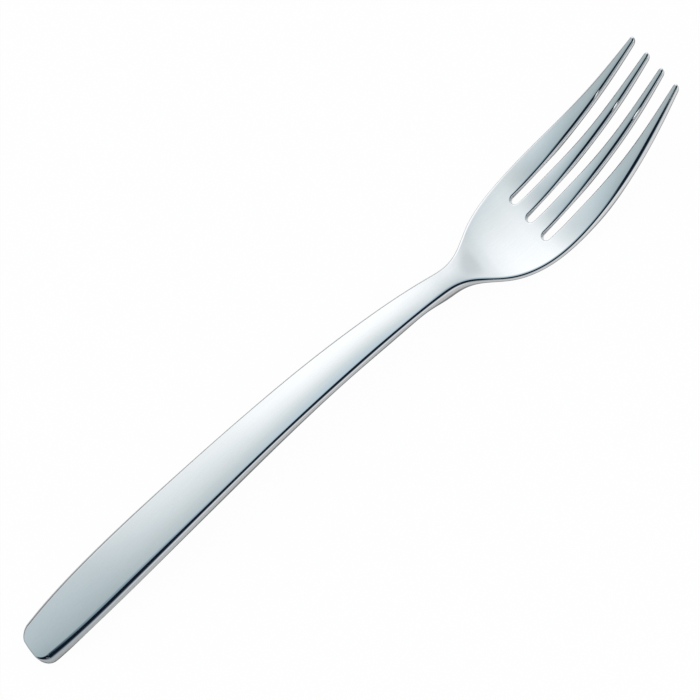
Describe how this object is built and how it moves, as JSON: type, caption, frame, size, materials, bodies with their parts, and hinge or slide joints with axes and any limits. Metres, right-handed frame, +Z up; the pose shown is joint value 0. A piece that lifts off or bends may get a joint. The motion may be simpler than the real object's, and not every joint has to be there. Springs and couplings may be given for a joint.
{
  "type": "dessert fork",
  "caption": "Polished stainless steel dessert fork with a flat curved handle, a slim neck, a hollowed palm and long tapering tines, for eating cake and fruit.",
  "frame": {"origin": "centre of the fork's outline, at the height of the table that it lies on with its tines upwards", "axes": "+X from the handle's end to the tips of the tines, +Y across the fork, +Z up from the table"},
  "size_m": [0.185, 0.025, 0.0185],
  "materials": {
    "polished_steel": "mirror polished"
  },
  "bodies": {
    "root": {"handle": "polished_steel", "neck": "polished_steel", "palm": "polished_steel", "tine_1": "polished_steel", "tine_2": "polished_steel", "tine_3": "polished_steel", "tine_4": "polished_steel"}
  },
  "joints": []
}
